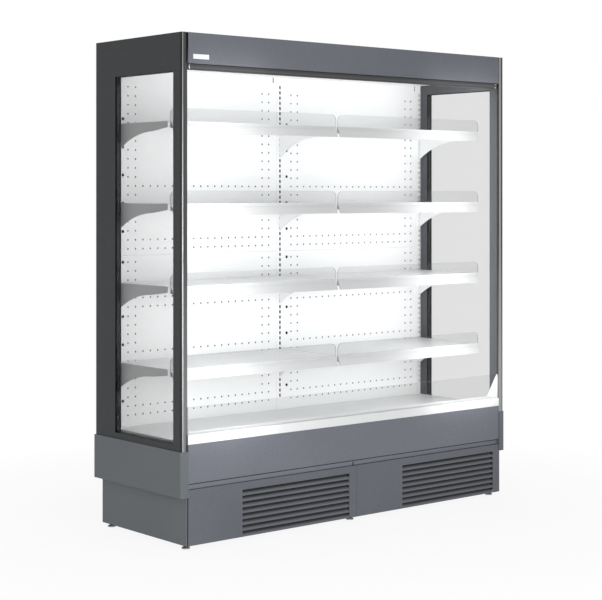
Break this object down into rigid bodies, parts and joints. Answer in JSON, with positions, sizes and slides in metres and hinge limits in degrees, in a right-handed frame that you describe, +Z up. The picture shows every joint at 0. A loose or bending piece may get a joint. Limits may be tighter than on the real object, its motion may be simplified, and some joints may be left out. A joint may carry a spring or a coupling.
{
  "type": "refrigerated display cabinet",
  "caption": "Open-front refrigerated wall cabinet with glazed ends, tilting hooked shelves, night blind, lift-out base decks and pull-off louvred kick panels.",
  "frame": {"origin": "on the floor, under the middle of the cabinet's footprint", "axes": "+Z up, +X to the right along the front as a customer faces it, +Y from the front to the rear"},
  "size_m": [1.949, 0.665, 2.15],
  "materials": {
    "end_panel_dark": "satin",
    "casing_grey": "satin",
    "band_grey": "satin",
    "profile_metal": "satin",
    "insulated_panel": "satin",
    "white_sheet": "satin",
    "clear_plastic": "gloss",
    "clear_glass": "polished",
    "white_plastic": "satin",
    "galvanised_steel": "satin",
    "fin_metal": "satin",
    "black_paint": "satin",
    "black_plastic": "satin",
    "grey_plastic": "satin",
    "copper_pipe": "satin",
    "blind_metal": "satin",
    "blind_cloth": "matte"
  },
  "bodies": {
    "cabinet": {"base_frame": "galvanised_steel", "base_sides": "casing_grey", "tub": "insulated_panel", "rear_wall": "insulated_panel", "roof": "insulated_panel", "end_panel_left": "end_panel_dark", "end_panel_right": "end_panel_dark", "end_glazing": "clear_glass", "front_profiles": "profile_metal", "side_bands": "band_grey", "front_panel": "casing_grey", "fascia": "casing_grey", "lamp": "white_plastic", "ceiling": "white_sheet", "honeycomb": "white_plastic", "back_panels": "white_sheet", "uprights": "white_sheet", "front_rail": "white_sheet", "front_glass": "clear_glass", "glass_brackets": "white_plastic", "evaporator": "fin_metal", "fan_plate": "white_sheet", "compressor": "black_paint", "condenser": "fin_metal", "refrigerant_pipes": "copper_pipe", "control_box": "grey_plastic", "drip_tray": "galvanised_steel", "blind_brackets": "white_plastic"},
    "shelf_1_left": {"shelf_1_left": "white_sheet", "shelf_front_1_left": "clear_plastic"},
    "shelf_1_right": {"shelf_1_right": "white_sheet", "shelf_front_1_right": "clear_plastic"},
    "shelf_2_left": {"shelf_2_left": "white_sheet", "shelf_front_2_left": "clear_plastic"},
    "shelf_2_right": {"shelf_2_right": "white_sheet", "shelf_front_2_right": "clear_plastic"},
    "shelf_3_left": {"shelf_3_left": "white_sheet", "shelf_front_3_left": "clear_plastic"},
    "shelf_3_right": {"shelf_3_right": "white_sheet", "shelf_front_3_right": "clear_plastic"},
    "shelf_4_left": {"shelf_4_left": "white_sheet", "shelf_front_4_left": "clear_plastic"},
    "shelf_4_right": {"shelf_4_right": "white_sheet", "shelf_front_4_right": "clear_plastic"},
    "kick_panel_left": {"kick_panel_left": "casing_grey"},
    "kick_panel_right": {"kick_panel_right": "casing_grey"},
    "base_deck_left": {"base_deck_left": "white_sheet"},
    "base_deck_right": {"base_deck_right": "white_sheet"},
    "blind_bar": {"blind_bar": "blind_metal", "blind_fabric": "blind_cloth"},
    "blind_roller": {"blind_roller": "blind_metal"},
    "evaporator_fan_left": {"evaporator_fan_left": "black_plastic"},
    "evaporator_fan_right": {"evaporator_fan_right": "black_plastic"},
    "condenser_fan": {"condenser_fan": "black_plastic"},
    "foot_front_left": {"levelling_foot_front_left": "galvanised_steel"},
    "foot_front_middle": {"levelling_foot_front_middle": "galvanised_steel"},
    "foot_front_right": {"levelling_foot_front_right": "galvanised_steel"},
    "foot_back_left": {"levelling_foot_back_left": "galvanised_steel"},
    "foot_back_middle": {"levelling_foot_back_middle": "galvanised_steel"},
    "foot_back_right": {"levelling_foot_back_right": "galvanised_steel"}
  },
  "joints": [
    {"name": "shelf_1_left_tilt", "type": "hinge", "parent": "cabinet", "child": "shelf_1_left", "pos_m": [-0.465, 0.2245, 0.712], "axis": [-1, 0, 0], "range_deg": [0, 15]},
    {"name": "shelf_1_right_tilt", "type": "hinge", "parent": "cabinet", "child": "shelf_1_right", "pos_m": [0.465, 0.2245, 0.712], "axis": [-1, 0, 0], "range_deg": [0, 15]},
    {"name": "shelf_2_left_tilt", "type": "hinge", "parent": "cabinet", "child": "shelf_2_left", "pos_m": [-0.465, 0.2245, 1.062], "axis": [-1, 0, 0], "range_deg": [0, 15]},
    {"name": "shelf_2_right_tilt", "type": "hinge", "parent": "cabinet", "child": "shelf_2_right", "pos_m": [0.465, 0.2245, 1.062], "axis": [-1, 0, 0], "range_deg": [0, 15]},
    {"name": "shelf_3_left_tilt", "type": "hinge", "parent": "cabinet", "child": "shelf_3_left", "pos_m": [-0.465, 0.2245, 1.412], "axis": [-1, 0, 0], "range_deg": [0, 15]},
    {"name": "shelf_3_right_tilt", "type": "hinge", "parent": "cabinet", "child": "shelf_3_right", "pos_m": [0.465, 0.2245, 1.412], "axis": [-1, 0, 0], "range_deg": [0, 15]},
    {"name": "shelf_4_left_tilt", "type": "hinge", "parent": "cabinet", "child": "shelf_4_left", "pos_m": [-0.465, 0.2245, 1.762], "axis": [-1, 0, 0], "range_deg": [0, 15]},
    {"name": "shelf_4_right_tilt", "type": "hinge", "parent": "cabinet", "child": "shelf_4_right", "pos_m": [0.465, 0.2245, 1.762], "axis": [-1, 0, 0], "range_deg": [0, 15]},
    {"name": "kick_panel_left_pull", "type": "slide", "parent": "cabinet", "child": "kick_panel_left", "axis": [0, -1, 0], "range_m": [0, 0.12]},
    {"name": "kick_panel_right_pull", "type": "slide", "parent": "cabinet", "child": "kick_panel_right", "axis": [0, -1, 0], "range_m": [0, 0.12]},
    {"name": "base_deck_left_lift", "type": "slide", "parent": "cabinet", "child": "base_deck_left", "axis": [0, 0, 1], "range_m": [0, 0.15]},
    {"name": "base_deck_right_lift", "type": "slide", "parent": "cabinet", "child": "base_deck_right", "axis": [0, 0, 1], "range_m": [0, 0.15]},
    {"name": "blind_pull", "type": "slide", "parent": "cabinet", "child": "blind_bar", "axis": [0, 0, -1], "range_m": [0, 1.385], "deforming": ["blind_fabric"]},
    {"name": "blind_roller_turn", "type": "hinge", "parent": "cabinet", "child": "blind_roller", "pos_m": [0, -0.2885, 2.078], "axis": [1, 0, 0], "continuous": true},
    {"name": "evaporator_fan_left_spin", "type": "hinge", "parent": "cabinet", "child": "evaporator_fan_left", "pos_m": [-0.46875, -0.087, 0.372], "axis": [0, 1, 0], "continuous": true},
    {"name": "evaporator_fan_right_spin", "type": "hinge", "parent": "cabinet", "child": "evaporator_fan_right", "pos_m": [0.46875, -0.087, 0.372], "axis": [0, 1, 0], "continuous": true},
    {"name": "condenser_fan_spin", "type": "hinge", "parent": "cabinet", "child": "condenser_fan", "pos_m": [-0.49, -0.175, 0.1605], "axis": [0, 1, 0], "continuous": true},
    {"name": "foot_front_left_screw", "type": "hinge", "parent": "cabinet", "child": "foot_front_left", "pos_m": [-0.915, -0.2805, 0.02], "axis": [0, 0, 1], "continuous": true},
    {"name": "foot_front_middle_screw", "type": "hinge", "parent": "cabinet", "child": "foot_front_middle", "pos_m": [0, -0.2805, 0.02], "axis": [0, 0, 1], "continuous": true},
    {"name": "foot_front_right_screw", "type": "hinge", "parent": "cabinet", "child": "foot_front_right", "pos_m": [0.915, -0.2805, 0.02], "axis": [0, 0, 1], "continuous": true},
    {"name": "foot_back_left_screw", "type": "hinge", "parent": "cabinet", "child": "foot_back_left", "pos_m": [-0.915, 0.2825, 0.02], "axis": [0, 0, 1], "continuous": true},
    {"name": "foot_back_middle_screw", "type": "hinge", "parent": "cabinet", "child": "foot_back_middle", "pos_m": [0, 0.2825, 0.02], "axis": [0, 0, 1], "continuous": true},
    {"name": "foot_back_right_screw", "type": "hinge", "parent": "cabinet", "child": "foot_back_right", "pos_m": [0.915, 0.2825, 0.02], "axis": [0, 0, 1], "continuous": true}
  ],
  "couplings": [
    {"joint": "blind_roller_turn", "follows": "blind_pull", "rad_per_m": 50}
  ]
}
